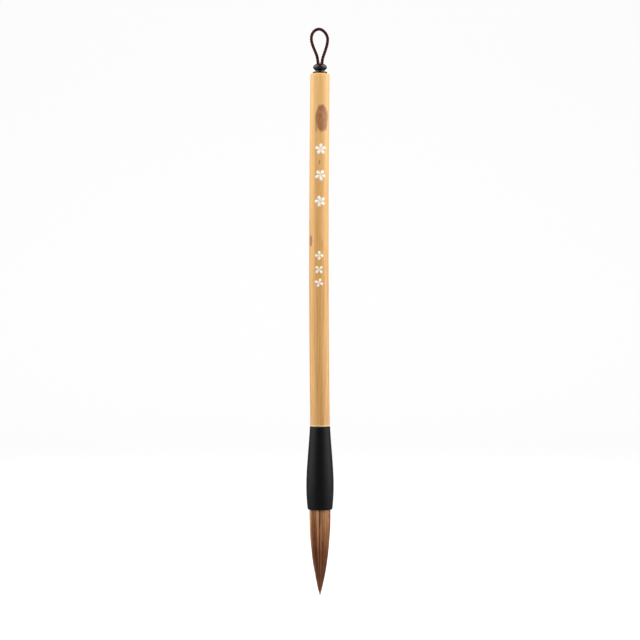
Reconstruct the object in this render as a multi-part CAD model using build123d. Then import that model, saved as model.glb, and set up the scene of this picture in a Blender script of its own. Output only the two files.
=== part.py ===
"""Calligraphy brush: a bamboo handle, a black turned ferrule, a bound hair tuft and a hanging cord loop.

The brush hangs plumb, tip down, along Z. The origin is the bearing point of the hanging loop, at the
inside of its top, on the brush's axis. X runs across the loop, and Y through it. Millimetres.
"""
from build123d import *
import os
from math import radians, sin, tan

# ---------------------------------------------------------------- driving sizes
# Handle: one internode of bamboo with its natural hollow
HANDLE_DIAMETER = 8.8
HANDLE_LENGTH = 158.6           # the part that shows, without the tenon
HANDLE_HOLLOW = 3.2             # the natural bore
HANDLE_TOP_ROUND = 0.7          # rounded rim at the cord end
HANDLE_FOOT_CHAMFER = 0.3       # small bevel above the ferrule
TENON_SHOULDER = 1.2            # step in from the skin to the tenon that goes into the ferrule
TENON_LENGTH = 9.0

# Ferrule: one turned piece, a socket above and a hair cup below
FERRULE_LENGTH = 37.3
FERRULE_TOP_STEP = 0.15         # how far its top stands out past the handle
FERRULE_SWELL_STEP = 0.39       # the flank, past the mouth
FERRULE_SWELL_HEIGHT = 17.8     # above the mouth
FERRULE_BELLY_STEP = 0.63       # the widest place, past the mouth
FERRULE_BELLY_HEIGHT = 10.4     # above the mouth
FERRULE_LIP = 0.85              # the mouth's wall, outside the hair
FERRULE_TOP_FLARE = 2.5         # degrees off plumb where the flank starts
FERRULE_MOUTH_ROUND = 0.55
FERRULE_TOP_ROUND = 0.12
CUP_DEPTH = 13.0
CUP_VENT_DIAMETER = 2.0         # hole between the cup and the socket

# Hair tuft
HAIR_DIAMETER = 9.4             # where it leaves the cup
HAIR_LENGTH = 38.5              # below the ferrule
HAIR_TAPER_POWER = 2.1          # the radius falls as 1 - (depth / length) ** power
HAIR_PROFILE_SPANS = 6          # of the smooth outline through that rule
HAIR_BEND_LIMIT = 35.0          # degrees each way from plumb
HAIR_CORE_DIAMETER = 5.0        # the long inner hairs
HAIR_CORE_TAPER_LENGTH = 15.0   # over which the inner hairs gather towards the point
POINT_LENGTH = 2.6              # bare point of the core past the mantle
POINT_DIAMETER = 0.86           # the point where it leaves the mantle
SEAL_THICKNESS = 1.2            # resin poured on the root end
THREAD_DIAMETER = 0.45
THREAD_TURNS = 4
THREAD_PITCH = 0.5
THREAD_HEIGHT = 8.5             # first turn above the mouth

# Finial: a flanged end cap with a peg, and a lens-shaped bead on its neck
CORD_HOLE_GAP = 0.025           # between the cord's legs and the hole through the bead and the cap
BEAD_DIAMETER = 6.26
BEAD_LAND = 0.2                 # width of the flat round the hole
BEAD_CROWN_HEIGHT = 1.5         # above the rim
BEAD_UNDERSIDE_HEIGHT = 1.5     # below the rim
NECK_WALL = 0.4
NECK_HEIGHT = 0.5
FLANGE_DIAMETER = 6.5
FLANGE_THICKNESS = 0.9
FLANGE_ROUND = 0.3
PEG_WALL = 1.0
PEG_LENGTH = 8.0

# Hanging cord
CORD_DIAMETER = 1.25
KNOT_BEARING = 0.1              # how far the knot's flat top reaches past the hole's edge
KNOT_BULGE = 0.6                # of its side, past its flat top
KNOT_HEIGHT = 3.8
PIN_DIAMETER = 0.65             # of the pin that keeps the cord's legs apart
PIN_DEPTH = 4.0                 # of the pin, below the top of the bead
PIN_STAND = 1.2                 # of the pin above the bead
PIN_POINT_LENGTH = 0.7

# Clearances
GLUE_GAP = 0.05                 # all round, in a glued socket
BEND_CLEARANCE = 0.1            # between the held and the bending hair
HAIR_LIP_CLEARANCE = 0.3        # between the bending hair and the ferrule's mouth
LOOP_CLEARANCE = 0.1            # between the swinging loop and the bead or the pin

# Route of the loop's centreline, as (x, z), from the left leg over the top to the right leg.
# The two ends stand over the cord's two legs in the bead.
LOOP_END_Z = -14.4
LOOP_TOP_Z = CORD_DIAMETER / 2  # so that the inside of the loop's top is at zero
LOOP_ROUTE = [
    (-1.0, -13.2), (-1.47, -11.0), (-2.5, -8.7), (-3.35, -6.5), (-3.88, -4.7), (-3.88, -2.25),
    (-2.9, -0.42), (-1.35, LOOP_TOP_Z), (0.4, LOOP_TOP_Z), (2.0, -0.5), (3.07, -2.05),
    (3.58, -3.95), (3.1, -6.75), (2.45, -8.9), (1.55, -11.35), (1.0, -13.25),
]

# ---------------------------------------------------------------- places along Z
cord_radius = CORD_DIAMETER / 2
leg_x = (CORD_DIAMETER + PIN_DIAMETER) / 2
bead_top_z = LOOP_END_Z - cord_radius - LOOP_CLEARANCE
bead_rim_z = bead_top_z - BEAD_CROWN_HEIGHT
bead_foot_z = bead_rim_z - BEAD_UNDERSIDE_HEIGHT
flange_top_z = bead_foot_z - NECK_HEIGHT
handle_top_z = flange_top_z - FLANGE_THICKNESS
peg_end_z = handle_top_z - PEG_LENGTH
ferrule_top_z = handle_top_z - HANDLE_LENGTH
mouth_z = ferrule_top_z - FERRULE_LENGTH
cup_floor_z = mouth_z + CUP_DEPTH
seal_foot_z = cup_floor_z - SEAL_THICKNESS
hair_radius = HAIR_DIAMETER / 2
point_z = mouth_z - HAIR_LENGTH
mantle_end_z = point_z + POINT_LENGTH
pivot_depth = hair_radius * sin(radians(HAIR_BEND_LIMIT)) + HAIR_LIP_CLEARANCE
pivot_z = mouth_z - pivot_depth

# ---------------------------------------------------------------- diameters that follow
tenon_diameter = HANDLE_DIAMETER - 2 * TENON_SHOULDER
socket_diameter = tenon_diameter + 2 * GLUE_GAP
cup_diameter = HAIR_DIAMETER + 2 * GLUE_GAP
waist_diameter = HAIR_DIAMETER - 2 * THREAD_DIAMETER
cord_hole_diameter = 2 * (leg_x + cord_radius + CORD_HOLE_GAP)
neck_diameter = cord_hole_diameter + 2 * NECK_WALL
peg_diameter = cord_hole_diameter + 2 * PEG_WALL
knot_flat_diameter = cord_hole_diameter + 2 * KNOT_BEARING


def rod(diameter, low_z, high_z, x=0.0):
    """A round bar along Z between two heights."""
    return Pos(x, 0, low_z) * Cylinder(
        diameter / 2, high_z - low_z, align=(Align.CENTER, Align.CENTER, Align.MIN)
    )


def turned(*edges):
    """The solid that a closed outline in the XZ plane sweeps round Z."""
    return revolve(make_face(Wire(list(edges))), Axis.Z, 360)


def at(radius, z):
    return Vector(radius, 0, z)


def tuft_radius(depth):
    """Radius of the tuft's outside at a depth below the ferrule's mouth."""
    return hair_radius * (1 - (depth / HAIR_LENGTH) ** HAIR_TAPER_POWER)


# ---------------------------------------------------------------- handle and ferrule
def handle():
    body = rod(HANDLE_DIAMETER, ferrule_top_z, handle_top_z)
    rims = body.edges().filter_by(GeomType.CIRCLE).sort_by(Axis.Z)
    body = fillet(rims[-1], HANDLE_TOP_ROUND)
    body = chamfer(body.edges().filter_by(GeomType.CIRCLE).sort_by(Axis.Z)[0], HANDLE_FOOT_CHAMFER)
    tenon_foot_z = ferrule_top_z - TENON_LENGTH
    counterbore_z = peg_end_z - KNOT_HEIGHT - GLUE_GAP
    body += rod(tenon_diameter, tenon_foot_z, ferrule_top_z)
    body -= rod(HANDLE_HOLLOW, tenon_foot_z, handle_top_z)
    return body - rod(peg_diameter + 2 * GLUE_GAP, counterbore_z, handle_top_z)


def ferrule():
    mouth = at(hair_radius + FERRULE_LIP, mouth_z)
    belly = at(mouth.X + FERRULE_BELLY_STEP, mouth_z + FERRULE_BELLY_HEIGHT)
    swell = at(mouth.X + FERRULE_SWELL_STEP, mouth_z + FERRULE_SWELL_HEIGHT)
    top = at(HANDLE_DIAMETER / 2 + FERRULE_TOP_STEP, ferrule_top_z)
    flare = Vector(tan(radians(FERRULE_TOP_FLARE)), 0, -1)
    to_mouth = Vector(mouth.X - belly.X, 0, mouth.Z - belly.Z)
    inward = Vector(2 * to_mouth.X, 0, to_mouth.Z)
    flank = Spline(top, swell, belly, mouth, tangents=(flare, inward))
    body = turned(
        flank,
        Line(mouth, at(0, mouth_z)),
        Line(at(0, mouth_z), at(0, ferrule_top_z)),
        Line(at(0, ferrule_top_z), top),
    )
    rims = body.edges().filter_by(GeomType.CIRCLE).sort_by(Axis.Z)
    body = fillet(rims[0], FERRULE_MOUTH_ROUND)
    body = fillet(body.edges().filter_by(GeomType.CIRCLE).sort_by(Axis.Z)[-1], FERRULE_TOP_ROUND)
    socket_foot_z = ferrule_top_z - TENON_LENGTH - GLUE_GAP
    body -= rod(socket_diameter, socket_foot_z, ferrule_top_z)
    body -= rod(cup_diameter, mouth_z, cup_floor_z)
    return body - rod(CUP_VENT_DIAMETER, cup_floor_z, socket_foot_z)


# ---------------------------------------------------------------- hair
def bend_ball(clearance=0.0):
    """The ball on which the free hair turns, with its centre on the bend axis."""
    return Pos(0, 0, pivot_z) * Sphere(tuft_radius(pivot_depth) + clearance)


def thread_ring(turn):
    ring_radius = waist_diameter / 2 + THREAD_DIAMETER / 2
    ring_z = mouth_z + THREAD_HEIGHT + turn * THREAD_PITCH
    return Pos(0, 0, ring_z) * Torus(ring_radius, THREAD_DIAMETER / 2)


def root_thread():
    return Compound([thread_ring(turn) for turn in range(THREAD_TURNS)])


def hair_root():
    """The glued root of the tuft, pinched in where it is bound, and hollowed for the bend ball."""
    waist_low_z = mouth_z + THREAD_HEIGHT - THREAD_PITCH
    waist_high_z = waist_low_z + (THREAD_TURNS + 1) * THREAD_PITCH
    body = rod(HAIR_DIAMETER, mouth_z, waist_low_z)
    body += rod(waist_diameter, waist_low_z, waist_high_z)
    body += rod(HAIR_DIAMETER, waist_high_z, seal_foot_z)
    return body - bend_ball(BEND_CLEARANCE)


def root_seal():
    return rod(HAIR_DIAMETER, seal_foot_z, cup_floor_z)


def core_outline():
    """Radius and height of the free core, from the top of its straight part to the mantle's end."""
    core_radius = HAIR_CORE_DIAMETER / 2
    return [
        at(core_radius, mantle_end_z + HAIR_CORE_TAPER_LENGTH),
        at(POINT_DIAMETER / 2, mantle_end_z),
    ]


def core_hair():
    shoulder, neck = core_outline()
    top_z = pivot_z + tuft_radius(pivot_depth)
    body = turned(
        Line(at(0, top_z), at(shoulder.X, top_z)),
        Line(at(shoulder.X, top_z), shoulder),
        Line(shoulder, neck),
        Line(neck, at(0, point_z)),
        Line(at(0, point_z), at(0, top_z)),
    )
    above = rod(HAIR_DIAMETER, pivot_z, top_z) - bend_ball()
    return body - above


def mantle_hair():
    shoulder, neck = core_outline()
    span = (HAIR_LENGTH - POINT_LENGTH - pivot_depth) / HAIR_PROFILE_SPANS
    depths = [pivot_depth + span * step for step in range(HAIR_PROFILE_SPANS + 1)]
    outside = [at(tuft_radius(depth), mouth_z - depth) for depth in depths]
    axis_top = at(0, pivot_z)
    cone = turned(
        Spline(*outside),
        Line(outside[-1], at(0, mantle_end_z)),
        Line(at(0, mantle_end_z), axis_top),
        Line(axis_top, outside[0]),
    )
    head = bend_ball() - rod(2 * HAIR_DIAMETER, pivot_z - HAIR_DIAMETER, pivot_z)
    bore = turned(
        Line(at(0, pivot_z + HAIR_DIAMETER), at(shoulder.X, pivot_z + HAIR_DIAMETER)),
        Line(at(shoulder.X, pivot_z + HAIR_DIAMETER), shoulder),
        Line(shoulder, neck),
        Line(neck, at(0, mantle_end_z)),
        Line(at(0, mantle_end_z), at(0, pivot_z + HAIR_DIAMETER)),
    )
    return cone + head - bore


# ---------------------------------------------------------------- finial
def end_cap():
    """Flange, neck and peg in one piece, bored for the cord."""
    flange = rod(FLANGE_DIAMETER, handle_top_z, flange_top_z)
    flange = fillet(flange.edges().filter_by(GeomType.CIRCLE), FLANGE_ROUND)
    body = flange + rod(neck_diameter, flange_top_z, bead_foot_z)
    body += rod(peg_diameter, peg_end_z, handle_top_z)
    return body - rod(cord_hole_diameter, peg_end_z, bead_foot_z)


def cord_bead():
    hole, foot = cord_hole_diameter / 2, neck_diameter / 2
    land = hole + BEAD_LAND
    rim = at(BEAD_DIAMETER / 2, bead_rim_z)
    crown = Spline(at(land, bead_top_z), rim, tangents=(Vector(1, 0, -0.25), Vector(0, 0, -1)))
    underside = Spline(rim, at(foot, bead_foot_z), tangents=(Vector(0, 0, -1), Vector(-1, 0, -1)))
    return turned(
        Line(at(hole, bead_top_z), at(land, bead_top_z)),
        crown,
        underside,
        Line(at(foot, bead_foot_z), at(hole, bead_foot_z)),
        Line(at(hole, bead_foot_z), at(hole, bead_top_z)),
    )


# ---------------------------------------------------------------- cord
def cord_tails():
    """The two legs of the cord inside the finial."""
    return Compound([rod(CORD_DIAMETER, peg_end_z, bead_top_z, x) for x in (-leg_x, leg_x)])


def cord_knot():
    flat = knot_flat_diameter / 2
    bulge = flat + KNOT_BULGE
    foot_z = peg_end_z - KNOT_HEIGHT
    return turned(
        Line(at(0, peg_end_z), at(flat, peg_end_z)),
        ThreePointArc(at(flat, peg_end_z), at(bulge, (peg_end_z + foot_z) / 2), at(flat, foot_z)),
        Line(at(flat, foot_z), at(0, foot_z)),
        Line(at(0, foot_z), at(0, peg_end_z)),
    )


def cord_pin():
    """A pin driven between the cord's legs, with a thinner point that stands clear of the loop."""
    wedge = PIN_DIAMETER / 2
    stem = wedge - LOOP_CLEARANCE
    low_z, point_top_z = bead_top_z - PIN_DEPTH, bead_top_z + PIN_STAND
    shoulder = at(stem, point_top_z - PIN_POINT_LENGTH)
    return turned(
        Line(at(0, low_z), at(wedge, low_z)),
        Line(at(wedge, low_z), at(wedge, bead_top_z)),
        Line(at(wedge, bead_top_z), at(stem, bead_top_z)),
        Line(at(stem, bead_top_z), shoulder),
        Line(shoulder, at(0, point_top_z)),
        Line(at(0, point_top_z), at(0, low_z)),
    )


def route_points():
    return [at(-leg_x, LOOP_END_Z), *(at(x, z) for x, z in LOOP_ROUTE), at(leg_x, LOOP_END_Z)]


def bend_radii(points):
    """The largest radius that each corner's two runs allow."""
    radii = []
    for before, here, after in zip(points, points[1:], points[2:]):
        turn = (here - before).get_angle(after - here)
        shorter = min((here - before).length, (after - here).length)
        radii.append(0.45 * shorter / tan(radians(turn) / 2))
    return radii


def hanging_loop():
    points = route_points()
    radii = bend_radii(points)
    path = FilletPolyline(*points, radius=radii)
    section = Plane(origin=path @ 0, z_dir=path % 0) * Circle(cord_radius)
    tube = sweep(section, path=path)
    print("loop radii", [round(r, 1) for r in radii], "length", round(path.length, 2))
    print("loop volume over section times length", tube.volume / (section.area * path.length))
    ends = [Pos(point.X, 0, point.Z) * Sphere(cord_radius) for point in (points[0], points[-1])]
    return tube + ends


PIECES = [
    handle, ferrule, hair_root, root_thread, root_seal, mantle_hair, core_hair,
    end_cap, cord_bead, cord_tails, cord_knot, cord_pin, hanging_loop,
]

os.makedirs("parts", exist_ok=True)
for make in PIECES:
    export_step(make(), f"parts/{make.__name__}.step")

print("handle top and foot", round(handle_top_z, 3), round(ferrule_top_z, 3))
print("mouth, hair pivot and point", round(mouth_z, 3), round(pivot_z, 3), round(point_z, 3))
print("bead top and loop end", round(bead_top_z, 3), LOOP_END_Z)
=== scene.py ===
"""Looks of the calligraphy brush: bamboo, black lacquer, a braided cord and a tuft drawn hair by hair.

Metres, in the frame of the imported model: +Z up along the brush, which hangs tip down, and -Y in front.
"""
from math import cos, hypot, pi, radians, sin, tan

import bmesh
import bpy
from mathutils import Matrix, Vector, noise
from mathutils.geometry import interpolate_bezier


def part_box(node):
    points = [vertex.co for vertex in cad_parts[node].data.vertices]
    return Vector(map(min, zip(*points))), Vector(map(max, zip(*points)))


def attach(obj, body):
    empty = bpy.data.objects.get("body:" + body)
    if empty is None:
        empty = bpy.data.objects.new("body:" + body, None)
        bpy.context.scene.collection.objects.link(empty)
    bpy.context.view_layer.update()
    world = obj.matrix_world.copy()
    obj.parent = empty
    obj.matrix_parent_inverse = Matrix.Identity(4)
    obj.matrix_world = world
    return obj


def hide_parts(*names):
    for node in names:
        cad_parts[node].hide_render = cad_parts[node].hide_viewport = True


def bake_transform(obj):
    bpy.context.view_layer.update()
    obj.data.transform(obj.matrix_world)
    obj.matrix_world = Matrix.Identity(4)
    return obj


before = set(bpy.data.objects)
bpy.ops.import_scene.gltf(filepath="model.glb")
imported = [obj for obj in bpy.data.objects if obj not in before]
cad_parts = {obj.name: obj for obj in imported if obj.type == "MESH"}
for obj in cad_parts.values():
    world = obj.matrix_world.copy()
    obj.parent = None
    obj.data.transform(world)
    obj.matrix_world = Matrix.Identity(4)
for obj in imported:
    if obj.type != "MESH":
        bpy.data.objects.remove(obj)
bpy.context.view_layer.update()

MM = 0.001

# ---------------------------------------------------------------- places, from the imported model
handle_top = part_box("handle")[1].z
tenon_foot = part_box("handle")[0].z
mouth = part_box("ferrule")[0].z
ferrule_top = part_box("ferrule")[1].z
bead_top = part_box("cord_bead")[1].z
bead_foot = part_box("cord_bead")[0].z
peg_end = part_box("end_cap")[0].z
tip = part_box("core_hair")[0].z
FINE_POINT = 0.9 * MM           # how far the finest hairs reach past the solid point
HAIR_LENGTH = mouth - tip + FINE_POINT

HANDLE_RADIUS = 4.4 * MM
HANDLE_THIN = 0.05 * MM         # how much slimmer its upper third is
HANDLE_BOW = 0.5 * MM           # natural bend towards -X, at the middle
HANDLE_SHAVED = 158.1           # below its top in millimetres, where the skin is cut away at its foot
HANDLE_RIDGE = 0.014 * MM       # of its fine ridges
HANDLE_DENT = 0.03 * MM         # of its soft dents
HAIR_RADIUS = 4.7 * MM
HAIR_TAPER_POWER = 2.1
CORE_SHARE = 0.92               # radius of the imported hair, as a share of the tuft's
CORD_RADIUS = 0.625 * MM
SHARP_EDGE = radians(40)        # edges that fold more than this stay crisp


# ---------------------------------------------------------------- camera
def camera():
    view_height, centre_z, lens = 288 * MM, -130.25 * MM, 100.0
    data = bpy.data.cameras.new("camera")
    data.lens = lens
    distance = view_height / data.sensor_width * lens
    eye = bpy.data.objects.new("camera", data)
    bpy.context.collection.objects.link(eye)
    eye.location = (0, -distance, centre_z)
    eye.rotation_euler = (pi / 2, 0, 0)
    bpy.context.scene.camera = eye


# ---------------------------------------------------------------- node trees written as arithmetic
class Flow:
    """A socket whose arithmetic adds Math nodes to its tree."""

    def __init__(self, net, socket):
        self.net, self.socket = net, socket

    def out(self, name):
        """Another output of the same node."""
        return Flow(self.net, self.socket.node.outputs[name])

    def __add__(self, other):
        return self.net.math("ADD", self, other)

    def __radd__(self, other):
        return self.net.math("ADD", other, self)

    def __sub__(self, other):
        return self.net.math("SUBTRACT", self, other)

    def __rsub__(self, other):
        return self.net.math("SUBTRACT", other, self)

    def __mul__(self, other):
        return self.net.math("MULTIPLY", self, other)

    def __rmul__(self, other):
        return self.net.math("MULTIPLY", other, self)

    def __truediv__(self, other):
        return self.net.math("DIVIDE", self, other)

    def __pow__(self, other):
        return self.net.math("POWER", self, other)


class Net:
    """A node tree that is built by calls."""

    def __init__(self, tree):
        self.tree = tree

    def node(self, kind, settings=(), inputs=(), out=0):
        """Adds a node: first its settings, then the values or links of its inputs."""
        made = self.tree.nodes.new(kind)
        for key, value in dict(settings).items():
            if key == "stops":
                fill_ramp(made.color_ramp, value)
            else:
                setattr(made, key, value)
        for key, value in dict(inputs).items():
            self.feed(made.inputs[key], value)
        return Flow(self, made.outputs[out]) if made.outputs else made

    def feed(self, socket, value):
        if isinstance(value, Flow):
            self.tree.links.new(value.socket, socket)
        else:
            socket.default_value = value

    def math(self, operation, *values):
        return self.node("ShaderNodeMath", {"operation": operation}, enumerate(values))

    def vector(self, x=0.0, y=0.0, z=0.0):
        return self.node("ShaderNodeCombineXYZ", inputs={0: x, 1: y, 2: z})

    def split(self, vector):
        parts = self.node("ShaderNodeSeparateXYZ", inputs={0: vector})
        return parts, parts.out("Y"), parts.out("Z")

    def ramp(self, value, *stops):
        """A colour ramp through (position, colour) stops."""
        return self.node("ShaderNodeValToRGB", {"stops": stops}, {0: value})

    def step(self, value, low, high):
        """0 below low and 1 above high, with a smooth rise between. low may be the larger."""
        settings = {"interpolation_type": "SMOOTHSTEP"}
        return self.node("ShaderNodeMapRange", settings, {0: value, 1: low, 2: high, 3: 0.0, 4: 1.0})

    def blend(self, share, first, second):
        """The second colour over the first, by share."""
        return self.node("ShaderNodeMix", {"data_type": "RGBA"}, {0: share, 6: first, 7: second}, out=2)

    def noise(self, vector, scale=1.0, detail=2.0, roughness=0.5):
        inputs = {"Vector": vector, "Scale": scale, "Detail": detail, "Roughness": roughness}
        return self.node("ShaderNodeTexNoise", inputs=inputs)


def fill_ramp(ramp, stops):
    while len(ramp.elements) < len(stops):
        ramp.elements.new(1.0)
    for element, (position, colour) in zip(ramp.elements, stops):
        element.position, element.color = position, colour


def rgb(red, green, blue):
    """A colour given as 0 to 255 on a screen, in the linear values that shaders use."""
    screen = [channel / 255 for channel in (red, green, blue)]
    return [c / 12.92 if c <= 0.04045 else ((c + 0.055) / 1.055) ** 2.4 for c in screen] + [1.0]


def finish_of(name, colour, roughness, height=None, relief=0.0, **constants):
    """A material. colour, roughness and height are functions that take the Net and give a value."""
    made = bpy.data.materials.new(name)
    made.use_nodes = True
    net = Net(made.node_tree)
    shader = made.node_tree.nodes["Principled BSDF"]
    net.feed(shader.inputs["Base Color"], colour(net))
    net.feed(shader.inputs["Roughness"], roughness(net))
    if height:
        bump = net.node("ShaderNodeBump", inputs={"Height": height(net), "Distance": relief, "Strength": 1.0})
        net.feed(shader.inputs["Normal"], bump)
    for key, value in constants.items():
        shader.inputs[key.replace("_", " ").title().replace("Ior", "IOR")].default_value = value
    made.diffuse_color = rgb(128, 128, 128)
    return made


def in_millimetres(net):
    """The place on the object, in millimetres, as a vector."""
    place = net.node("ShaderNodeTexCoord", out="Object")
    return net.node("ShaderNodeVectorMath", {"operation": "SCALE"}, {0: place, "Scale": 1000.0})


def stretched(net, across, along):
    """The place in millimetres, times one factor across the brush and another along it."""
    factors = (across, across, along)
    return net.node("ShaderNodeVectorMath", {"operation": "MULTIPLY"}, {0: in_millimetres(net), 1: factors})


# ---------------------------------------------------------------- bamboo
# Brown stains of the skin: degrees round the handle from the front, then distance below its top, half
# width and half height in millimetres, then strength from 0 to 1.
STAINS = [
    (14, 20.4, 3.5, 6.5, 1.0),
    (-24, 24.6, 0.7, 2.2, 0.55),
    (-3, 40.1, 0.35, 1.2, 0.8),
    (-59, 75.2, 1.0, 2.8, 1.0),
    (14, 77.0, 0.35, 2.4, 0.5),
    (84, 96.2, 0.8, 2.2, 0.8),
    (150, 52.0, 2.0, 4.6, 0.9),
    (-128, 104.0, 1.2, 3.2, 0.8),
    (172, 128.0, 0.5, 1.6, 0.7),
    (-160, 33.0, 0.4, 1.5, 0.7),
]


def round_the_handle(net):
    """Degrees round the handle from the front, and millimetres below its top."""
    x, y, z = net.split(in_millimetres(net))
    turn = net.math("ARCTAN2", x, 0 - y) * (180 / pi)
    return turn, handle_top / MM - z


def stain_cover(net):
    """How brown each place is, from 0 to 1, over all the stains."""
    turn, below = round_the_handle(net)
    ragged = net.noise(stretched(net, 0.7, 0.3), detail=3.0) - 0.5
    cover = 0.0
    for angle, depth, half_width, half_height, strength in STAINS:
        apart = net.math("WRAP", turn - angle, 180.0, -180.0)
        across = apart * (HANDLE_RADIUS / MM * pi / 180 / half_width)
        along = (below - depth) / half_height
        reach = net.math("SQRT", across * across + along * along) + ragged * 0.4
        cover = net.math("MAXIMUM", cover, net.step(reach, 1.05, 0.8) * strength)
    return cover


def bamboo_colour(net):
    turn, below = round_the_handle(net)
    down = below / ((handle_top - ferrule_top) / MM)
    # The skin is lighter at the top and darker towards the ferrule, where its dark fibres also grow stronger.
    skin = net.ramp(down, (0.0, rgb(232, 184, 112)), (0.45, rgb(224, 172, 98)), (1.0, rgb(212, 160, 92)))
    bands = net.noise(stretched(net, 0.55, 0.008), detail=2.0)
    skin = net.blend(net.step(bands, 0.35, 0.75) * 0.5, skin, rgb(198, 146, 80))
    fibres = net.noise(stretched(net, 5.0, 0.03), detail=3.0, roughness=0.6)
    dark_fibres = net.step(fibres, 0.5, 0.68) * (0.4 + 0.4 * down)
    skin = net.blend(dark_fibres, skin, rgb(170, 112, 54))
    skin = net.blend(net.step(fibres, 0.46, 0.3) * 0.5, skin, rgb(244, 206, 140))
    flecks = net.noise(stretched(net, 3.0, 0.25), detail=2.0)
    skin = net.blend(net.step(flecks, 0.62, 0.78) * 0.4, skin, rgb(206, 138, 62))
    cover = stain_cover(net)
    mottle = net.noise(stretched(net, 1.6, 0.5), detail=4.0)
    brown = net.ramp(mottle, (0.35, rgb(124, 70, 38)), (0.65, rgb(168, 106, 66)))
    skin = net.blend(cover * 0.85, skin, brown)
    skin = net.blend(net.step(below, 1.7, 0.5) * 0.6, skin, rgb(240, 176, 76))
    shaved = net.step(below, HANDLE_SHAVED - 0.25, HANDLE_SHAVED + 0.1)
    return net.blend(shaved, skin, rgb(250, 224, 166))


def bamboo():
    return finish_of(
        "bamboo",
        colour=bamboo_colour,
        roughness=lambda net: 0.34 + 0.2 * net.noise(stretched(net, 3.0, 0.05)),
        height=lambda net: net.noise(stretched(net, 5.0, 0.03), detail=3.0, roughness=0.6),
        relief=0.03 * MM,
        specular_ior_level=0.5,
    )


# ---------------------------------------------------------------- black finishes
def black_lacquer():
    """Satin black over fine-grained turned wood, with a little dust-fine wear."""
    def colour(net):
        grain = net.noise(stretched(net, 2.6, 0.1), detail=3.0)
        skin = net.ramp(grain, (0.35, rgb(5, 5, 7)), (0.7, rgb(13, 13, 15)))
        specks = net.step(net.noise(stretched(net, 5.0, 5.0), detail=1.0), 0.66, 0.74)
        _, _, z = net.split(in_millimetres(net))
        near_mouth = net.step(z, mouth / MM + 6.0, mouth / MM + 0.5)
        return net.blend(specks * (0.25 + 0.75 * near_mouth) * 0.6, skin, rgb(48, 48, 52))

    return finish_of(
        "black_lacquer",
        colour=colour,
        roughness=lambda net: 0.36 + 0.16 * net.noise(stretched(net, 4.0, 0.4), detail=3.0),
        height=lambda net: net.noise(stretched(net, 4.0, 0.25), detail=3.0),
        relief=0.03 * MM,
        specular_ior_level=0.15,
    )


def polished_black():
    return finish_of(
        "polished_black",
        colour=lambda net: net.ramp(
            net.noise(stretched(net, 1.5, 1.5)), (0.3, rgb(8, 8, 9)), (0.7, rgb(18, 18, 20))
        ),
        roughness=lambda net: 0.16 + 0.12 * net.noise(stretched(net, 3.0, 3.0)),
    )


# ---------------------------------------------------------------- turned pieces
def arc(corner, before, after, radius, steps=5):
    """Points that round the corner between two neighbours of an outline."""
    corner, before, after = Vector(corner), Vector(before), Vector(after)
    one, other = (before - corner).normalized(), (after - corner).normalized()
    half = one.angle(other) / 2
    reach = radius / tan(half)
    start, end = corner + one * reach, corner + other * reach
    lever = radius * 4 / 3 * tan((pi - 2 * half) / 4)
    curve = interpolate_bezier(
        start.to_3d(), (start - one * lever).to_3d(), (end - other * lever).to_3d(), end.to_3d(), steps + 1
    )
    return [(point.x, point.y) for point in curve]


def rounded(outline):
    """An outline of (radius, z, rounding) corners as plain points. It closes on itself."""
    points = []
    for index, (radius, z, rounding) in enumerate(outline):
        before, after = outline[index - 1], outline[(index + 1) % len(outline)]
        if rounding:
            points += arc((radius, z), before[:2], after[:2], rounding)
        else:
            points.append((radius, z))
    return points


def link(name, data):
    made = bpy.data.objects.new(name, data)
    bpy.context.collection.objects.link(made)
    return made


def turned(name, points, steps, shape=None):
    """A ring-shaped solid: a closed outline of (radius, z) points, turned round Z.

    shape moves each vertex. The map named OFBake unrolls the piece, its outline up and its turn across.
    """
    mesh = bmesh.new()
    rings = []
    for step in range(steps):
        angle = 2 * pi * step / steps
        ring = [Vector((r * sin(angle), -r * cos(angle), z)) for r, z in points]
        rings.append([mesh.verts.new(shape(place, angle) if shape else place) for place in ring])
    layer = mesh.loops.layers.uv.new("OFBake")
    lengths = [hypot(b[0] - a[0], b[1] - a[1]) for a, b in zip(points, points[1:] + points[:1])]
    heights = [sum(lengths[:count]) / sum(lengths) for count in range(len(points) + 1)]
    for step in range(steps):
        here, there = rings[step], rings[(step + 1) % steps]
        for index in range(len(points)):
            up = (index + 1) % len(points)
            face = mesh.faces.new((here[index], there[index], there[up], here[up]))
            face.smooth = True
            corners = [(step, index), (step + 1, index), (step + 1, index + 1), (step, index + 1)]
            for loop, (turn, row) in zip(face.loops, corners):
                loop[layer].uv = (turn / steps, heights[row])
    bmesh.ops.recalc_face_normals(mesh, faces=mesh.faces)
    data = bpy.data.meshes.new(name)
    mesh.to_mesh(data)
    mesh.free()
    data.set_sharp_from_angle(angle=SHARP_EDGE)
    return link(name, data)


def repaint(node, material):
    """Gives a CAD node that stays a finish of its own."""
    for place in bpy.data.objects[node].material_slots:
        place.material = material


def dressed(piece, material, body, slot, *nodes):
    """Gives a piece its finish, its body and the CAD nodes that it stands for. slot is not used."""
    piece.data.materials.clear()
    piece.data.materials.append(material)
    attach(piece, body)
    if nodes:
        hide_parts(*nodes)
    return piece


def bow(z):
    """The x of the handle's middle at a height."""
    share = min(max((handle_top - z) / (handle_top - ferrule_top), 0.0), 1.0)
    return -HANDLE_BOW * sin(pi * share)


def handle_radius(z):
    share = min(max(((handle_top - z) / (handle_top - ferrule_top) - 0.3) / 0.3, 0.0), 1.0)
    return HANDLE_RADIUS - HANDLE_THIN * (1 - share * share * (3 - 2 * share))


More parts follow.
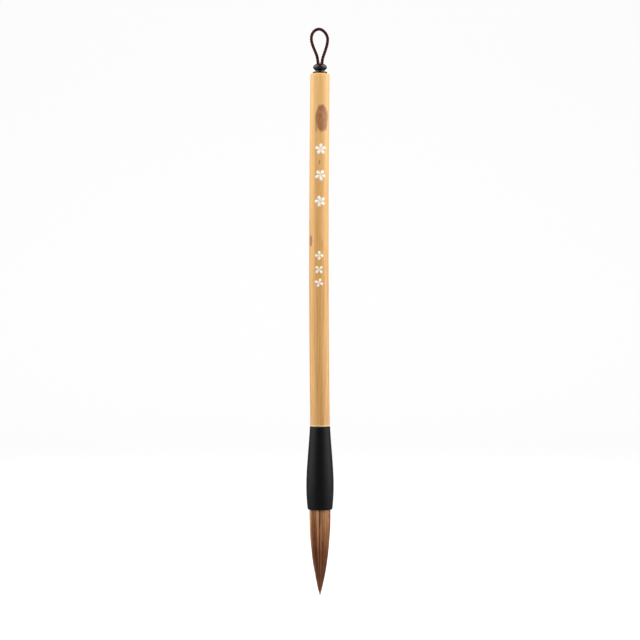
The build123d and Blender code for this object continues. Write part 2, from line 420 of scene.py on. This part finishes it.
def grown(place, angle):
    """Turns a straight round bar into grown bamboo: bowed, slimmer above, and faintly ridged."""
    radius = hypot(place.x, place.y)
    natural = radius * handle_radius(place.z) / HANDLE_RADIUS
    if radius > HANDLE_RADIUS - 1 * MM and place.z > ferrule_top:
        ridge = noise.noise(Vector((9 * sin(angle), 9 * cos(angle), place.z / MM * 0.015)))
        dent = noise.noise(Vector((1.5 * sin(angle), 1.5 * cos(angle), place.z / MM * 0.05 + 7)))
        natural += HANDLE_RIDGE * ridge + HANDLE_DENT * dent
    scale = natural / radius
    return Vector((place.x * scale + bow(place.z), place.y * scale, place.z))


def bamboo_handle():
    bore, tenon, counterbore = 1.6 * MM, 3.2 * MM, 2.65 * MM
    counterbore_foot = peg_end - 3.85 * MM
    rows = 90
    skin_top, skin_foot = handle_top - 0.7 * MM, ferrule_top + 0.3 * MM
    skin = [(HANDLE_RADIUS, skin_foot + (skin_top - skin_foot) * row / rows, 0) for row in range(rows)]
    points = rounded([
        (tenon, ferrule_top, 0),
        (HANDLE_RADIUS - 0.3 * MM, ferrule_top, 0.06 * MM),
        *skin,
        (HANDLE_RADIUS, handle_top, 0.7 * MM),
        (counterbore, handle_top, 0.1 * MM),
        (counterbore, counterbore_foot, 0),
        (bore, counterbore_foot, 0),
        (bore, tenon_foot, 0),
        (tenon, tenon_foot, 0),
    ])
    piece = turned("bamboo_handle", points, steps=160, shape=grown)
    return dressed(piece, bamboo(), "brush", "bamboo", "handle")


def bezier(*controls, steps=14):
    """Points along the Bezier curves through (radius, z) controls, given as end, two handles, end, ..."""
    points = []
    for first in range(0, len(controls) - 1, 3):
        span = [Vector((r, z, 0)) for r, z in controls[first:first + 4]]
        curve = interpolate_bezier(*span, steps + 1)
        points += [(point.x, point.y) for point in curve[bool(points):]]
    return points


def lacquered_ferrule():
    socket, cup, vent = 3.25 * MM, 4.75 * MM, 1.0 * MM
    socket_foot, cup_floor = tenon_foot - 0.05 * MM, mouth + 13 * MM
    top_radius, belly_radius, mouth_radius = 4.55 * MM, 6.18 * MM, 5.55 * MM
    belly = mouth + 10.8 * MM
    flank = bezier(
        (mouth_radius + 0.1 * MM, mouth + 0.75 * MM),
        (mouth_radius + 0.42 * MM, mouth + 3.9 * MM),
        (belly_radius, belly - 3.9 * MM),
        (belly_radius, belly),
        (belly_radius, belly + 7.6 * MM),
        (top_radius + 0.42 * MM, ferrule_top - 8.5 * MM),
        (top_radius, ferrule_top - 0.12 * MM),
    )
    points = rounded([
        (cup + 0.02 * MM, mouth, 0.1 * MM),
        (mouth_radius, mouth, 0.36 * MM),
        *((radius, z, 0) for radius, z in flank),
        (top_radius - 0.02 * MM, ferrule_top, 0.1 * MM),
        (socket, ferrule_top, 0),
        (socket, socket_foot, 0),
        (vent, socket_foot, 0),
        (vent, cup_floor, 0),
        (cup, cup_floor, 0),
    ])
    piece = turned("lacquered_ferrule", points, steps=128)
    return dressed(piece, black_lacquer(), "brush", "black_lacquer", "ferrule")


def finial(black):
    """The flanged cap in the handle's top, and the bead on its neck."""
    bore, neck, peg, flange = 1.6 * MM, 2.0 * MM, 2.6 * MM, 3.25 * MM
    flange_top = handle_top + 0.9 * MM
    cap = rounded([
        (bore, bead_foot, 0),
        (neck, bead_foot, 0),
        (neck, flange_top, 0.12 * MM),
        (flange, flange_top, 0.32 * MM),
        (flange, handle_top, 0.3 * MM),
        (peg, handle_top, 0),
        (peg, peg_end, 0.1 * MM),
        (bore, peg_end, 0),
    ])
    dressed(turned("finial_cap", cap, steps=72), black, "brush", "finial_black", "end_cap")
    rim, rim_z = 3.13 * MM, (bead_top + bead_foot) / 2
    lens = bezier(
        (1.8 * MM, bead_top),
        (2.3 * MM, bead_top - 0.12 * MM),
        (rim, rim_z + 0.75 * MM),
        (rim, rim_z),
        (rim, rim_z - 0.55 * MM),
        (2.5 * MM, bead_foot + 0.45 * MM),
        (neck, bead_foot),
        steps=12,
    )
    bead = [*lens, (bore, bead_foot), *arc((bore, bead_top), (bore, bead_foot), (rim, bead_top), 0.12 * MM)]
    dressed(turned("finial_bead", bead, steps=96), black, "brush", "finial_black", "cord_bead")


# ---------------------------------------------------------------- what geometry nodes grow
def grown_by_nodes(name, start, sizes, build):
    """Runs a geometry-node tree on a start mesh and keeps the result as a plain mesh.

    sizes gives each named input of the tree as its socket's type and its value, and build makes the
    tree: it takes the Net and the inputs by name, and returns the geometry.
    """
    tree = bpy.data.node_groups.new(name, "GeometryNodeTree")
    tree.interface.new_socket("Geometry", in_out="OUTPUT", socket_type="NodeSocketGeometry")
    tree.interface.new_socket("Geometry", in_out="INPUT", socket_type="NodeSocketGeometry")
    for label, (kind, _) in sizes.items():
        tree.interface.new_socket(label, in_out="INPUT", socket_type="NodeSocket" + kind)
    net = Net(tree)
    source = net.node("NodeGroupInput", out="Geometry")
    inputs = {label: source.out(label) for label in sizes}
    result = build(net, source, inputs)
    net.node("NodeGroupOutput", inputs={"Geometry": result})
    carrier = link(name + "_start", start)
    modifier = carrier.modifiers.new(name, "NODES")
    modifier.node_group = tree
    for socket in tree.interface.items_tree:
        if socket.name in sizes:
            modifier[socket.identifier] = sizes[socket.name][1]
    graph = bpy.context.evaluated_depsgraph_get()
    mesh = bpy.data.meshes.new_from_object(
        carrier.evaluated_get(graph), preserve_all_data_layers=True, depsgraph=graph
    )
    mesh.name = name
    bpy.data.objects.remove(carrier)
    return link(name, mesh)


def remember(net, geometry, label, value, kind="FLOAT", domain="POINT"):
    """Stores a value on the geometry under a name."""
    settings = {"data_type": kind, "domain": domain}
    inputs = {"Geometry": geometry, "Name": label, "Value": value}
    return net.node("GeometryNodeStoreNamedAttribute", settings, inputs)


def recall(net, label, kind="FLOAT"):
    return net.node("GeometryNodeInputNamedAttribute", {"data_type": kind}, {"Name": label})


# ---------------------------------------------------------------- hanging cord
LEG_X, LOOP_END_Z = 0.95, -14.4         # of the loop's two ends, in millimetres
LOOP_TOP_Z = CORD_RADIUS / MM
# The route of the loop's centreline in millimetres, as (x, z), from the left leg over the top.
LOOP_ROUTE = [
    (-LEG_X, LOOP_END_Z), (-1.0, -13.2), (-1.47, -11.0), (-2.5, -8.7), (-3.35, -6.5), (-3.88, -4.7),
    (-3.88, -2.25), (-2.9, -0.42), (-1.35, LOOP_TOP_Z), (0.4, LOOP_TOP_Z), (2.0, -0.5),
    (3.07, -2.05), (3.58, -3.95), (3.1, -6.75), (2.45, -8.9), (1.55, -11.35), (1.0, -13.25),
    (LEG_X, LOOP_END_Z),
]


def centreline():
    """Points along the smooth line of the loop, from its route."""
    curve = bpy.data.curves.new("loop_route", "CURVE")
    curve.dimensions = "3D"
    curve.resolution_u = 12
    spline = curve.splines.new("NURBS")
    spline.points.add(len(LOOP_ROUTE) - 1)
    for point, (x, z) in zip(spline.points, LOOP_ROUTE):
        point.co = (x * MM, 0, z * MM, 1)
    spline.order_u = 3
    spline.use_endpoint_u = True
    route = link("loop_route", curve)
    mesh = bpy.data.meshes.new_from_object(route)
    points = [vertex.co.copy() for vertex in mesh.vertices]
    bpy.data.objects.remove(route)
    bpy.data.meshes.remove(mesh)
    return points


def braid_tree(net, source, size):
    """Strands that wind both ways round the line of the start mesh, over and under each other."""
    line = net.node("GeometryNodeMeshToCurve", inputs={"Mesh": source})
    line = net.node("GeometryNodeResampleCurve", inputs={"Curve": line, "Count": size["Samples"]})
    copies = net.node("GeometryNodeDuplicateElements", {"domain": "SPLINE"}, {
        "Geometry": line, "Amount": size["Strands"] * 2,
    })
    line = remember(net, copies, "strand", copies.out("Duplicate Index"), domain="CURVE")
    strand = recall(net, "strand")
    along = net.node("GeometryNodeSplineParameter")
    run = along.out("Length")
    way = net.math("MODULO", strand, 2.0) * 2.0 - 1.0
    place = net.math("FLOOR", strand * 0.5) + 0.25 * way
    angle = way * run * (2 * pi) / size["Pitch"] + place * (2 * pi) / size["Strands"]
    beat = net.math("SINE", run * (2 * pi) * size["Strands"] / size["Pitch"])
    radius = size["Braid Radius"] + size["Weave Depth"] * way * beat
    normal = net.node("GeometryNodeInputNormal")
    tangent = net.node("GeometryNodeInputTangent")
    side = net.node("ShaderNodeVectorMath", {"operation": "CROSS_PRODUCT"}, {0: normal, 1: tangent})
    outward = net.node("ShaderNodeVectorMath", {"operation": "ADD"}, {
        0: net.node("ShaderNodeVectorMath", {"operation": "SCALE"}, {
            0: normal, "Scale": net.math("COSINE", angle) * radius,
        }),
        1: net.node("ShaderNodeVectorMath", {"operation": "SCALE"}, {
            0: side, "Scale": net.math("SINE", angle) * radius,
        }),
    })
    line = remember(net, line, "along", along)
    line = net.node("GeometryNodeSetPosition", inputs={"Geometry": line, "Offset": outward})
    section = net.node("GeometryNodeCurvePrimitiveCircle", inputs={
        "Resolution": size["Section Points"], "Radius": size["Strand Radius"],
    })
    mesh = net.node("GeometryNodeCurveToMesh", inputs={
        "Curve": line, "Profile Curve": section, "Fill Caps": True,
    })
    return net.node("GeometryNodeSetMaterial", inputs={
        "Geometry": net.node("GeometryNodeRealizeInstances", inputs={0: mesh}), "Material": size["Finish"],
    })


def braid(name, points, maroon):
    """A round braid along a line of points."""
    start = bpy.data.meshes.new(name + "_line")
    start.from_pydata(points, [(index, index + 1) for index in range(len(points) - 1)], [])
    length = sum((b - a).length for a, b in zip(points, points[1:]))
    sizes = {
        "Samples": ("Int", round(length / (0.14 * MM))),
        "Strands": ("Int", 4),
        "Pitch": ("Float", 5.0 * MM),
        "Braid Radius": ("Float", 0.41 * MM),
        "Weave Depth": ("Float", 0.065 * MM),
        "Strand Radius": ("Float", 0.255 * MM),
        "Section Points": ("Int", 8),
        "Finish": ("Material", maroon),
    }
    return grown_by_nodes(name, start, sizes, braid_tree), length


def cord(maroon):
    """The loop over the bead, and its two legs down through the bead into the handle."""
    points = centreline()
    piece, length = braid("braided_loop", points, maroon)
    legs_top, legs_end = LOOP_END_Z * MM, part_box("cord_tails")[0].z
    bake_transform(piece)
    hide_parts("hanging_loop")
    for name, x in (("left_leg", -LEG_X * MM), ("right_leg", LEG_X * MM)):
        leg, _ = braid(name, [Vector((x, 0, legs_top)), Vector((x, 0, legs_end))], maroon)
        dressed(leg, maroon, "brush", "cord_maroon", "cord_tails")
    repaint("cord_knot", maroon)


def maroon_braid():
    def colour(net):
        worn = net.noise(stretched(net, 2.5, 2.5), detail=3.0)
        return net.ramp(worn, (0.3, rgb(40, 10, 15)), (0.6, rgb(70, 20, 26)), (0.8, rgb(112, 48, 50)))

    return finish_of(
        "maroon_braid",
        colour=colour,
        roughness=lambda net: 0.55 + 0.2 * net.noise(stretched(net, 6.0, 6.0)),
        height=lambda net: net.noise(stretched(net, 12.0, 12.0)),
        relief=0.02 * MM,
        specular_ior_level=0.12,
    )


# ---------------------------------------------------------------- hair
def hair_tree(net, source, size):
    """Hairs from the ferrule's cup towards the point, which gather into locks as they go."""
    strand = net.node("GeometryNodeResampleCurve", inputs={
        "Curve": net.node("GeometryNodeCurvePrimitiveLine", inputs={"End": (0, 0, -1)}),
        "Count": size["Segments"] + 1.0,
    })
    hairs = net.node("GeometryNodeDuplicateElements", {"domain": "SPLINE"}, {
        "Geometry": strand, "Amount": size["Hairs"],
    })
    hairs = remember(net, hairs, "hair", hairs.out("Duplicate Index"), domain="CURVE")
    number = recall(net, "hair")

    def chance(low, high, salt):
        """A random number for each hair."""
        return net.node("FunctionNodeRandomValue", {"data_type": "FLOAT"}, {
            2: low, 3: high, "ID": number, "Seed": size["Seed"] + salt,
        }, out=1)

    along = net.node("GeometryNodeSplineParameter")
    turn = chance(0.0, 2 * pi, 1)
    inner = size["Inner Share"]
    share = net.math("SQRT", chance(0.0, 1.0, 2) * (1 - inner * inner) + inner * inner)
    across, deep = share * net.math("COSINE", turn), share * net.math("SINE", turn)
    root_cross = net.vector(across, deep)
    lock = net.node("ShaderNodeTexVoronoi", {"voronoi_dimensions": "2D"}, {
        "Vector": root_cross, "Scale": size["Lock Density"],
    }, out="Position")
    lock_shade, _, _ = net.split(lock.out("Color"))
    reach = 1 - size["Shortest"] * chance(0.0, 1.0, 3) ** 2.0
    depth = along * (size["Root Height"] + size["Length"] * reach) - size["Root Height"]
    free = net.math("MAXIMUM", depth / size["Length"], 0.0)
    pull = net.step(free, 0.0, 0.7) * size["Lock Pull"]
    cross = net.node("ShaderNodeMix", {"data_type": "VECTOR"}, {0: pull, 4: root_cross, 5: lock}, out=1)
    place = net.vector(across * 9.0, deep * 9.0, free * 2.5 + number * 0.01)
    wander = net.node("ShaderNodeVectorMath", {"operation": "SCALE"}, {
        0: net.node("ShaderNodeVectorMath", {"operation": "SUBTRACT"}, {
            0: net.noise(place).out("Color"), 1: (0.5, 0.5, 0.5),
        }),
        "Scale": free * size["Wander"],
    })
    cross = net.node("ShaderNodeVectorMath", {"operation": "ADD"}, {0: cross, 1: wander})
    outline = size["Mouth Radius"] * (1 - free ** size["Taper Power"])
    x, y, _ = net.split(cross)
    hairs = remember(net, hairs, "along", free)
    shade = lock_shade * 0.6 + chance(0.0, 0.4, 4)
    hairs = remember(net, hairs, "shade", shade)
    hairs = net.node("GeometryNodeSetPosition", inputs={
        "Geometry": hairs, "Position": net.vector(x * outline, y * outline, mouth - depth),
    })
    thin = size["Hair Radius"] * (1 - 0.75 * along ** 3.0) * chance(0.75, 1.2, 5)
    section = net.node("GeometryNodeCurvePrimitiveCircle", inputs={"Resolution": 3, "Radius": 1.0})
    mesh = net.node("GeometryNodeCurveToMesh", inputs={
        "Curve": hairs, "Profile Curve": section, "Scale": thin,
    })
    side = net.math("MODULO", net.node("GeometryNodeInputIndex"), 3.0) * 0.006
    spot = net.vector(recall(net, "shade") * 0.98 + side, recall(net, "along"))
    mesh = remember(net, mesh, "OFBake", spot, kind="FLOAT2", domain="CORNER")
    return net.node("GeometryNodeSetMaterial", inputs={
        "Geometry": net.node("GeometryNodeRealizeInstances", inputs={0: mesh}),
        "Material": size["Finish"],
    })


def tuft_of(name, finish, **changes):
    sizes = {
        "Hairs": ("Int", 2600),
        "Segments": ("Int", 12),
        "Root Height": ("Float", 2.5 * MM),
        "Mouth Radius": ("Float", HAIR_RADIUS),
        "Length": ("Float", HAIR_LENGTH - 1.5 * MM),
        "Taper Power": ("Float", HAIR_TAPER_POWER),
        "Inner Share": ("Float", 0.9),
        "Hair Radius": ("Float", 0.065 * MM),
        "Shortest": ("Float", 0.4),
        "Lock Density": ("Float", 8.0),
        "Lock Pull": ("Float", 0.5),
        "Wander": ("Float", 0.2),
        "Seed": ("Int", 3),
        "Finish": ("Material", finish),
    }
    for label, value in changes.items():
        label = label.replace("_", " ").title()
        sizes[label] = (sizes[label][0], value)
    return grown_by_nodes(name, bpy.data.meshes.new(name + "_start"), sizes, hair_tree)


def hair_finish(name, light, dark):
    """Hair from root to point, as stops of light hairs and of dark ones, by the piece's own map."""
    def colour(net):
        spot = net.node("ShaderNodeUVMap", {"uv_map": "OFBake"})
        shade, along, _ = net.split(spot)
        change = net.noise(net.vector(shade * 60.0, along * 5.0), detail=2.0) - 0.5
        lightness = net.step(shade + 0.7 * change, 0.32, 0.72)
        return net.blend(lightness, net.ramp(along, *dark), net.ramp(along, *light))

    return finish_of(name, colour, lambda net: 0.4, specular_ior_level=0.4)


def bend_with_hair(piece, slot, *nodes):
    """Bakes the hair's place into its mesh, and hides the CAD nodes that it stands for."""
    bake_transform(piece)
    if nodes:
        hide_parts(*nodes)


def tuft_core(finish):
    """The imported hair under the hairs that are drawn, solid down to the point."""
    rows, steps = 48, 64
    core_length, root_height = HAIR_LENGTH - 0.6 * MM, 2.6 * MM
    rings = [(CORE_SHARE * HAIR_RADIUS, mouth + root_height, 0.0)]
    # The rows stand closer together towards the point.
    for row in range(rows):
        along = 1 - (1 - row / rows) ** 1.5
        radius = CORE_SHARE * HAIR_RADIUS * (1 - along ** HAIR_TAPER_POWER)
        rings.append((radius, mouth - along * core_length, along))
    mesh = bmesh.new()
    layer = mesh.loops.layers.uv.new("OFBake")

    def around(radius, z):
        turns = [2 * pi * step / steps for step in range(steps)]
        return [mesh.verts.new((radius * sin(turn), -radius * cos(turn), z)) for turn in turns]

    def face(*corners):
        made = mesh.faces.new([vertex for vertex, _, _ in corners])
        made.smooth = True
        for loop, (_, turn, along) in zip(made.loops, corners):
            loop[layer].uv = (turn / steps, along)

    placed = [(around(radius, z), along) for radius, z, along in rings]
    for (high, above), (low, below) in zip(placed, placed[1:]):
        for step in range(steps):
            after = (step + 1) % steps
            face((high[step], step, above), (low[step], step, below),
                 (low[after], step + 1, below), (high[after], step + 1, above))
    ends = ((placed[0], mouth + root_height, 0.0), (placed[-1], mouth - core_length, 1.0))
    for (ring, along), z, end in ends:
        pole = mesh.verts.new((0, 0, z))
        for step in range(steps):
            after = (step + 1) % steps
            face((ring[step], step, along), (ring[after], step + 1, along), (pole, step + 0.5, end))
    bmesh.ops.recalc_face_normals(mesh, faces=mesh.faces)
    data = bpy.data.meshes.new("tuft_core")
    mesh.to_mesh(data)
    mesh.free()
    data.materials.append(finish)
    return link("tuft_core", data)


def packed_hair(light, dark):
    """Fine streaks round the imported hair, by the piece's own map."""
    def colour(net):
        turn, along, _ = net.split(net.node("ShaderNodeUVMap", {"uv_map": "OFBake"}))
        around = net.vector(
            14.0 * net.math("COSINE", turn * (2 * pi)), 14.0 * net.math("SINE", turn * (2 * pi)), along * 1.5
        )
        streak = net.step(net.noise(around, detail=3.0), 0.4, 0.75)
        return net.blend(streak * 0.8, net.ramp(along, *dark), net.ramp(along, *light))

    return finish_of("packed_hair", colour, lambda net: 0.6)


def tuft():
    light = [
        (0.0, rgb(230, 180, 128)), (0.22, rgb(210, 152, 100)), (0.5, rgb(172, 106, 68)),
        (0.82, rgb(150, 94, 64)), (0.92, rgb(168, 98, 54)), (0.96, rgb(240, 206, 150)),
    ]
    dark = [
        (0.0, rgb(124, 58, 28)), (0.3, rgb(108, 52, 27)), (0.6, rgb(94, 47, 28)),
        (0.85, rgb(90, 51, 37)), (0.92, rgb(124, 68, 38)), (0.97, rgb(226, 184, 128)),
    ]
    brown = hair_finish("brown_hair", light, dark)
    bend_with_hair(tuft_of("outer_hairs", brown), "hair_brown", "mantle_hair")
    bend_with_hair(
        tuft_of("inner_hairs", brown, hairs=1800, inner_share=0.75, seed=11, shortest=0.25), "hair_brown"
    )
    pale = hair_finish("pale_point", light, light)
    bend_with_hair(
        tuft_of(
            "point_hairs", pale, hairs=900, inner_share=0.1, seed=5, shortest=0.04,
            length=HAIR_LENGTH, lock_density=3.0,
        ),
        "hair_core", "core_hair",
    )
    bend_with_hair(tuft_core(packed_hair(light, dark)), "hair_brown")
    repaint("hair_root", brown_root())


def brown_root():
    """The glued and bound end of the hair, inside the ferrule."""
    return finish_of("bound_hair", lambda net: net.ramp(
        net.noise(stretched(net, 3.0, 0.2), detail=3.0), (0.35, rgb(84, 50, 32)), (0.7, rgb(150, 104, 66))
    ), lambda net: 0.45 + 0.2 * net.noise(stretched(net, 4.0, 0.4)))


def linen_thread():
    return finish_of("linen_thread", lambda net: net.ramp(
        net.noise(stretched(net, 6.0, 6.0), detail=3.0), (0.35, rgb(196, 184, 158)), (0.7, rgb(232, 224, 204))
    ), lambda net: 0.8, lambda net: net.noise(stretched(net, 10.0, 10.0)), 0.03 * MM)


def amber_resin():
    return finish_of("amber_resin", lambda net: net.ramp(
        net.noise(stretched(net, 1.2, 1.2), detail=3.0), (0.35, rgb(92, 52, 20)), (0.7, rgb(150, 92, 38))
    ), lambda net: 0.16 + 0.1 * net.noise(stretched(net, 3.0, 3.0)))


# ---------------------------------------------------------------- painted flowers
# Degrees round the handle from the front, distance below its top and petal's length in millimetres,
# number of petals, and first petal's direction in degrees.
FLOWERS = [
    (9, 34.2, 2.5, 5, 0), (8, 45.9, 2.5, 5, 30), (7, 57.6, 2.5, 5, -18),
    (2, 81.9, 2.0, 4, 0), (1, 88.2, 2.0, 4, 45), (1, 94.1, 2.0, 4, 20),
]
# From a petal's foot in the skin to its crown: share of the petal's size, and height in millimetres.
PAINT_RINGS = [(1.0, -0.06), (1.0, 0.02), (0.72, 0.055)]


def on_the_skin(across, below, height):
    """The place at a distance across from the front line and below the handle's top, by its skin."""
    angle = across * MM / HANDLE_RADIUS
    z = handle_top - below * MM
    foot = grown(Vector((HANDLE_RADIUS * sin(angle), -HANDLE_RADIUS * cos(angle), z)), angle)
    return foot + Vector((sin(angle), -cos(angle), 0)) * height * MM


def petal(mesh, place, direction, near, far, half_width, edge_count=14):
    """A crowned blob of paint between two distances from the flower's middle, with its foot in the skin."""
    middle_across, middle_below = place
    turn = radians(direction)
    rings = []
    for size, height in PAINT_RINGS:
        ring = []
        for step in range(edge_count):
            swing = 2 * pi * step / edge_count
            out = (near + far) / 2 + (far - near) / 2 * size * cos(swing)
            side = half_width * size * sin(swing) * (1 + 0.28 * cos(swing))
            across = middle_across + out * sin(turn) + side * cos(turn)
            below = middle_below - out * cos(turn) + side * sin(turn)
            ring.append(mesh.verts.new(on_the_skin(across, below, height)))
        rings.append(ring)
    for low, high in zip(rings, rings[1:]):
        for step in range(edge_count):
            after = (step + 1) % edge_count
            mesh.faces.new((low[step], low[after], high[after], high[step])).smooth = True
    mesh.faces.new(rings[-1]).smooth = True
    mesh.faces.new(rings[0])


def painted_flowers():
    """Small white flowers down the front of the handle, petal by petal."""
    mesh = bmesh.new()
    for turn, below, length, count, first in FLOWERS:
        middle = (HANDLE_RADIUS / MM * radians(turn), below)
        for index in range(count):
            petal(mesh, middle, first + 360 * index / count, 0.17 * length, length, 0.28 * length)
        petal(mesh, middle, 0, -0.13 * length, 0.13 * length, 0.13 * length, 10)
    bmesh.ops.recalc_face_normals(mesh, faces=mesh.faces)
    data = bpy.data.meshes.new("painted_flowers")
    mesh.to_mesh(data)
    mesh.free()
    paint = finish_of("white_paint", lambda net: net.ramp(
        net.noise(stretched(net, 4.0, 1.5), detail=3.0), (0.3, rgb(226, 210, 176)), (0.5, rgb(255, 253, 246))
    ), lambda net: 0.5 + 0.2 * net.noise(stretched(net, 6.0, 6.0)))
    dressed(link("painted_flowers", data), paint, "brush", "bamboo")


# ---------------------------------------------------------------- stage and light
def stage():
    """A pale floor that curves up into a far backdrop."""
    floor_z, wall_y, cove, rise, reach, half_width = tip - 45 * MM, 2.2, 0.6, 3.0, 4.0, 4.0
    edge = [(-reach, floor_z), (wall_y - cove, floor_z)]
    for degrees in range(10, 91, 10):
        turn = radians(degrees)
        edge.append((wall_y - cove + cove * sin(turn), floor_z + cove * (1 - cos(turn))))
    edge.append((wall_y, floor_z + rise))
    mesh = bmesh.new()
    rows = [[mesh.verts.new((x, y, z)) for x in (-half_width, half_width)] for y, z in edge]
    for low, high in zip(rows, rows[1:]):
        mesh.faces.new((low[0], low[1], high[1], high[0])).smooth = True
    data = bpy.data.meshes.new("floor")
    mesh.to_mesh(data)
    mesh.free()
    glow_seen, glow_mirrored = 0.88, 0.16
    paper = finish_of("paper", lambda net: rgb(150, 150, 150), lambda net: 0.9, emission_strength=glow_seen)
    # It glows only where it is looked at, and faintly where polish mirrors its far part.
    net = Net(paper.node_tree)
    ray = net.node("ShaderNodeLightPath", out="Is Camera Ray")
    _, y, _ = net.split(net.node("ShaderNodeTexCoord", out="Object"))
    mirrored = glow_mirrored * ray.out("Is Glossy Ray") * net.step(y, 0.2, 1.2)
    glow = net.blend(ray + mirrored, rgb(0, 0, 0), rgb(255, 255, 255))
    net.feed(paper.node_tree.nodes["Principled BSDF"].inputs["Emission Color"], glow)
    data.materials.append(paper)
    link("floor", data)


def softbox(name, azimuth, height, distance, size, power):
    """A tall soft light that faces the middle of the brush. Azimuth 0 is in front, 90 on the right."""
    data = bpy.data.lights.new(name, "AREA")
    data.shape, data.size, data.size_y = "RECTANGLE", *size
    data.energy = power
    lamp = link(name, data)
    middle = Vector((0, 0, tip / 2))
    turn = radians(azimuth)
    lamp.location = middle + Vector((sin(turn) * distance, -cos(turn) * distance, height))
    lamp.rotation_euler = (middle - lamp.location).to_track_quat("-Z", "Y").to_euler()
    lamp.visible_camera = False


def lights():
    world = bpy.data.worlds.new("studio")
    world.use_nodes = True
    bpy.context.scene.world = world
    net = Net(world.node_tree)
    background = world.node_tree.nodes["Background"]
    seen = net.node("ShaderNodeLightPath", out="Is Camera Ray")
    dim, white = (0.24, 0.24, 0.24, 1.0), (1.0, 1.0, 1.0, 1.0)
    net.feed(background.inputs["Color"], net.blend(seen, dim, white))
    side, height, distance, size = 80, 0.35, 0.6, (1.0, 1.2)
    softbox("left_softbox", -side, height, distance, size, power=9.6)
    softbox("right_softbox", side, height, distance, size, power=10.8)
    bpy.context.scene.view_settings.view_transform = "Standard"


camera()
cord(maroon_braid())
bamboo_handle()
painted_flowers()
lacquered_ferrule()
black = polished_black()
finial(black)
repaint("cord_pin", black)
tuft()
repaint("root_thread", linen_thread())
repaint("root_seal", amber_resin())
stage()
lights()
